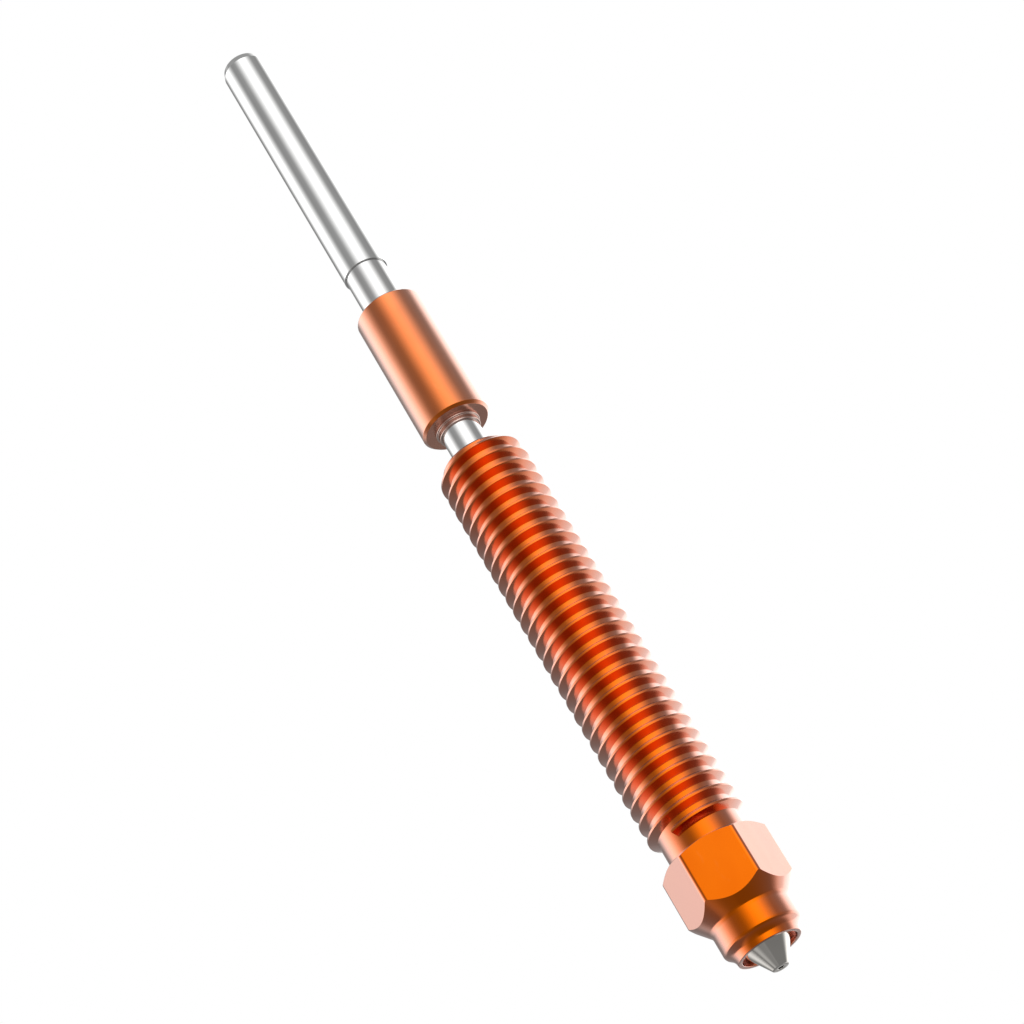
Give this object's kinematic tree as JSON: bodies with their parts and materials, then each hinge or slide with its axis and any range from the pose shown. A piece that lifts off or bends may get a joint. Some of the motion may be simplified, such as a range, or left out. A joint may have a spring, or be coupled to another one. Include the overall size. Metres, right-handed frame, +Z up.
{
  "type": "hotend assembly",
  "caption": "Slim hotend assembly: threaded copper nozzle body with hex and steel tip, thin heat-break tube, copper heat-sink sleeve and steel guide tube on one filament path.",
  "frame": {"origin": "centre of the seat, the upper face of the wrench hex, on the filament path", "axes": "+Z runs up the filament path, from the tip towards the inlet; X runs through two opposite corners of the hex"},
  "size_m": [0.0068, 0.006, 0.0761],
  "materials": {
    "guide_steel": "satin, turned",
    "heat_break_titanium": "satin, turned",
    "copper": "satin, turned and machined",
    "collar_metal": "satin",
    "tip_steel": "ground"
  },
  "bodies": {
    "root": {"guide_tube": "guide_steel", "heat_break_tube": "heat_break_titanium", "heat_sink_sleeve": "copper", "retaining_collar": "collar_metal", "nozzle_body": "copper", "nozzle_tip": "tip_steel"}
  },
  "joints": []
}
